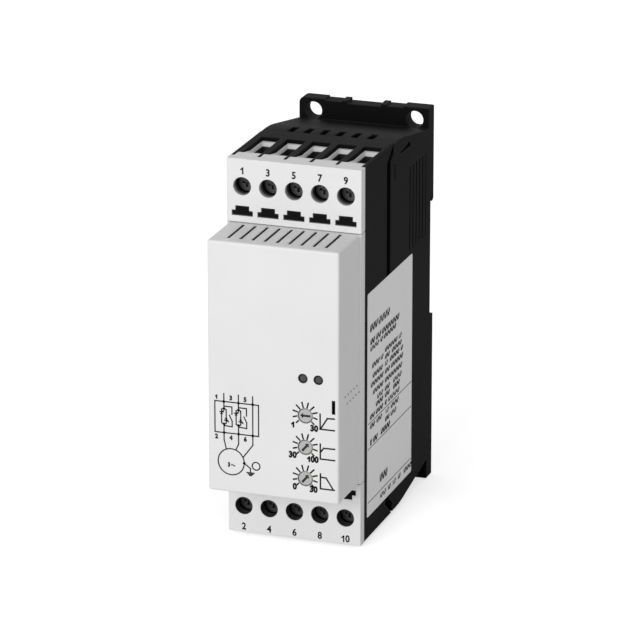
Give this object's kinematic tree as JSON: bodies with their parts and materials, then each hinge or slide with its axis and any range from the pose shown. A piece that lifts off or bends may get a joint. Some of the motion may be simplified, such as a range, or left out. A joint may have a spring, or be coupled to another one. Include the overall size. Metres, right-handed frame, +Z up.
{
  "type": "compact three-phase soft starter",
  "caption": "Narrow upright motor soft starter with a white raised front, setting dials, screw terminals at both ends and a black vented rear housing that holds on a rail or by screws.",
  "frame": {"origin": "middle of the bottom of the bounding box, on the flange's lower edge", "axes": "+Z up along the housing, the front faces -Y, +X to the right seen from the front"},
  "size_m": [0.045, 0.095, 0.1288],
  "materials": {
    "white_plastic": "fine matte moulding",
    "black_plastic": "matte moulding",
    "grey_plastic": "matte moulding",
    "pale_plastic": "matte moulding",
    "blue_plastic": "smooth moulding",
    "lamp_plastic": "smooth smoked light pipe",
    "dark_resin": "cast resin",
    "board_green": "lacquered board",
    "plated_steel": "zinc plated",
    "copper": "plain copper",
    "black_anodised": "black anodised"
  },
  "bodies": {
    "housing": {"front_cover": "white_plastic", "terminal_cover_upper": "white_plastic", "terminal_cover_lower": "white_plastic", "terminal_housing": "black_plastic", "rear_housing": "black_plastic", "control_board": "board_green", "power_board": "board_green", "board_link": "grey_plastic", "bypass_relay_left": "grey_plastic", "bypass_relay_right": "grey_plastic", "heat_sink": "black_anodised", "thyristor_module_left": "dark_resin", "thyristor_module_right": "dark_resin", "potentiometer_1": "blue_plastic", "potentiometer_2": "blue_plastic", "potentiometer_3": "blue_plastic", "status_lamp_1": "lamp_plastic", "status_lamp_2": "lamp_plastic", "contact_bar_upper_1": "copper", "contact_bar_upper_2": "copper", "contact_bar_upper_3": "copper", "contact_bar_upper_4": "copper", "contact_bar_upper_5": "copper", "contact_bar_lower_1": "copper", "contact_bar_lower_2": "copper", "contact_bar_lower_3": "copper", "contact_bar_lower_4": "copper", "contact_bar_lower_5": "copper"},
    "terminal_screw_upper_1": {"terminal_screw_upper_1": "plated_steel"},
    "terminal_cage_upper_1": {"terminal_cage_upper_1": "plated_steel"},
    "terminal_screw_upper_2": {"terminal_screw_upper_2": "plated_steel"},
    "terminal_cage_upper_2": {"terminal_cage_upper_2": "plated_steel"},
    "terminal_screw_upper_3": {"terminal_screw_upper_3": "plated_steel"},
    "terminal_cage_upper_3": {"terminal_cage_upper_3": "plated_steel"},
    "terminal_screw_upper_4": {"terminal_screw_upper_4": "plated_steel"},
    "terminal_cage_upper_4": {"terminal_cage_upper_4": "plated_steel"},
    "terminal_screw_upper_5": {"terminal_screw_upper_5": "plated_steel"},
    "terminal_cage_upper_5": {"terminal_cage_upper_5": "plated_steel"},
    "terminal_screw_lower_1": {"terminal_screw_lower_1": "plated_steel"},
    "terminal_cage_lower_1": {"terminal_cage_lower_1": "plated_steel"},
    "terminal_screw_lower_2": {"terminal_screw_lower_2": "plated_steel"},
    "terminal_cage_lower_2": {"terminal_cage_lower_2": "plated_steel"},
    "terminal_screw_lower_3": {"terminal_screw_lower_3": "plated_steel"},
    "terminal_cage_lower_3": {"terminal_cage_lower_3": "plated_steel"},
    "terminal_screw_lower_4": {"terminal_screw_lower_4": "plated_steel"},
    "terminal_cage_lower_4": {"terminal_cage_lower_4": "plated_steel"},
    "terminal_screw_lower_5": {"terminal_screw_lower_5": "plated_steel"},
    "terminal_cage_lower_5": {"terminal_cage_lower_5": "plated_steel"},
    "dial_1": {"dial_1": "pale_plastic"},
    "dial_2": {"dial_2": "pale_plastic"},
    "dial_3": {"dial_3": "pale_plastic"},
    "rail_latch": {"rail_latch": "grey_plastic"}
  },
  "joints": [
    {"name": "terminal_screw_upper_1_turn", "type": "hinge", "parent": "housing", "child": "terminal_screw_upper_1", "pos_m": [-0.01732, -0.0227, 0.1183], "axis": [0, 1, 0], "range_deg": [0, 2520]},
    {"name": "terminal_cage_upper_1_lift", "type": "slide", "parent": "housing", "child": "terminal_cage_upper_1", "axis": [0, -1, 0], "range_m": [0, 0.0042]},
    {"name": "terminal_screw_upper_2_turn", "type": "hinge", "parent": "housing", "child": "terminal_screw_upper_2", "pos_m": [-0.00866, -0.0227, 0.1183], "axis": [0, 1, 0], "range_deg": [0, 2520]},
    {"name": "terminal_cage_upper_2_lift", "type": "slide", "parent": "housing", "child": "terminal_cage_upper_2", "axis": [0, -1, 0], "range_m": [0, 0.0042]},
    {"name": "terminal_screw_upper_3_turn", "type": "hinge", "parent": "housing", "child": "terminal_screw_upper_3", "pos_m": [0, -0.0227, 0.1183], "axis": [0, 1, 0], "range_deg": [0, 2520]},
    {"name": "terminal_cage_upper_3_lift", "type": "slide", "parent": "housing", "child": "terminal_cage_upper_3", "axis": [0, -1, 0], "range_m": [0, 0.0042]},
    {"name": "terminal_screw_upper_4_turn", "type": "hinge", "parent": "housing", "child": "terminal_screw_upper_4", "pos_m": [0.00866, -0.0227, 0.1183], "axis": [0, 1, 0], "range_deg": [0, 2520]},
    {"name": "terminal_cage_upper_4_lift", "type": "slide", "parent": "housing", "child": "terminal_cage_upper_4", "axis": [0, -1, 0], "range_m": [0, 0.0042]},
    {"name": "terminal_screw_upper_5_turn", "type": "hinge", "parent": "housing", "child": "terminal_screw_upper_5", "pos_m": [0.01732, -0.0227, 0.1183], "axis": [0, 1, 0], "range_deg": [0, 2520]},
    {"name": "terminal_cage_upper_5_lift", "type": "slide", "parent": "housing", "child": "terminal_cage_upper_5", "axis": [0, -1, 0], "range_m": [0, 0.0042]},
    {"name": "terminal_screw_lower_1_turn", "type": "hinge", "parent": "housing", "child": "terminal_screw_lower_1", "pos_m": [-0.01732, -0.0227, 0.0104], "axis": [0, 1, 0], "range_deg": [0, 2520]},
    {"name": "terminal_cage_lower_1_lift", "type": "slide", "parent": "housing", "child": "terminal_cage_lower_1", "axis": [0, -1, 0], "range_m": [0, 0.0042]},
    {"name": "terminal_screw_lower_2_turn", "type": "hinge", "parent": "housing", "child": "terminal_screw_lower_2", "pos_m": [-0.00866, -0.0227, 0.0104], "axis": [0, 1, 0], "range_deg": [0, 2520]},
    {"name": "terminal_cage_lower_2_lift", "type": "slide", "parent": "housing", "child": "terminal_cage_lower_2", "axis": [0, -1, 0], "range_m": [0, 0.0042]},
    {"name": "terminal_screw_lower_3_turn", "type": "hinge", "parent": "housing", "child": "terminal_screw_lower_3", "pos_m": [0, -0.0227, 0.0104], "axis": [0, 1, 0], "range_deg": [0, 2520]},
    {"name": "terminal_cage_lower_3_lift", "type": "slide", "parent": "housing", "child": "terminal_cage_lower_3", "axis": [0, -1, 0], "range_m": [0, 0.0042]},
    {"name": "terminal_screw_lower_4_turn", "type": "hinge", "parent": "housing", "child": "terminal_screw_lower_4", "pos_m": [0.00866, -0.0227, 0.0104], "axis": [0, 1, 0], "range_deg": [0, 2520]},
    {"name": "terminal_cage_lower_4_lift", "type": "slide", "parent": "housing", "child": "terminal_cage_lower_4", "axis": [0, -1, 0], "range_m": [0, 0.0042]},
    {"name": "terminal_screw_lower_5_turn", "type": "hinge", "parent": "housing", "child": "terminal_screw_lower_5", "pos_m": [0.01732, -0.0227, 0.0104], "axis": [0, 1, 0], "range_deg": [0, 2520]},
    {"name": "terminal_cage_lower_5_lift", "type": "slide", "parent": "housing", "child": "terminal_cage_lower_5", "axis": [0, -1, 0], "range_m": [0, 0.0042]},
    {"name": "dial_1_turn", "type": "hinge", "parent": "housing", "child": "dial_1", "pos_m": [0.0107, -0.0473, 0.0512], "axis": [0, 1, 0], "range_deg": [-45, 225]},
    {"name": "dial_2_turn", "type": "hinge", "parent": "housing", "child": "dial_2", "pos_m": [0.0107, -0.0473, 0.04065], "axis": [0, 1, 0], "range_deg": [-180, 90]},
    {"name": "dial_3_turn", "type": "hinge", "parent": "housing", "child": "dial_3", "pos_m": [0.0107, -0.0473, 0.0301], "axis": [0, 1, 0], "range_deg": [-180, 90]},
    {"name": "rail_latch_slide", "type": "slide", "parent": "housing", "child": "rail_latch", "axis": [0, 0, -1], "range_m": [0, 0.0035], "stiffness_N_per_m": 500, "springref_m": -0.004}
  ],
  "couplings": [
    {"joint": "terminal_screw_upper_1_turn", "follows": "terminal_cage_upper_1_lift", "rad_per_m": 10472},
    {"joint": "terminal_screw_upper_2_turn", "follows": "terminal_cage_upper_2_lift", "rad_per_m": 10472},
    {"joint": "terminal_screw_upper_3_turn", "follows": "terminal_cage_upper_3_lift", "rad_per_m": 10472},
    {"joint": "terminal_screw_upper_4_turn", "follows": "terminal_cage_upper_4_lift", "rad_per_m": 10472},
    {"joint": "terminal_screw_upper_5_turn", "follows": "terminal_cage_upper_5_lift", "rad_per_m": 10472},
    {"joint": "terminal_screw_lower_1_turn", "follows": "terminal_cage_lower_1_lift", "rad_per_m": 10472},
    {"joint": "terminal_screw_lower_2_turn", "follows": "terminal_cage_lower_2_lift", "rad_per_m": 10472},
    {"joint": "terminal_screw_lower_3_turn", "follows": "terminal_cage_lower_3_lift", "rad_per_m": 10472},
    {"joint": "terminal_screw_lower_4_turn", "follows": "terminal_cage_lower_4_lift", "rad_per_m": 10472},
    {"joint": "terminal_screw_lower_5_turn", "follows": "terminal_cage_lower_5_lift", "rad_per_m": 10472}
  ]
}
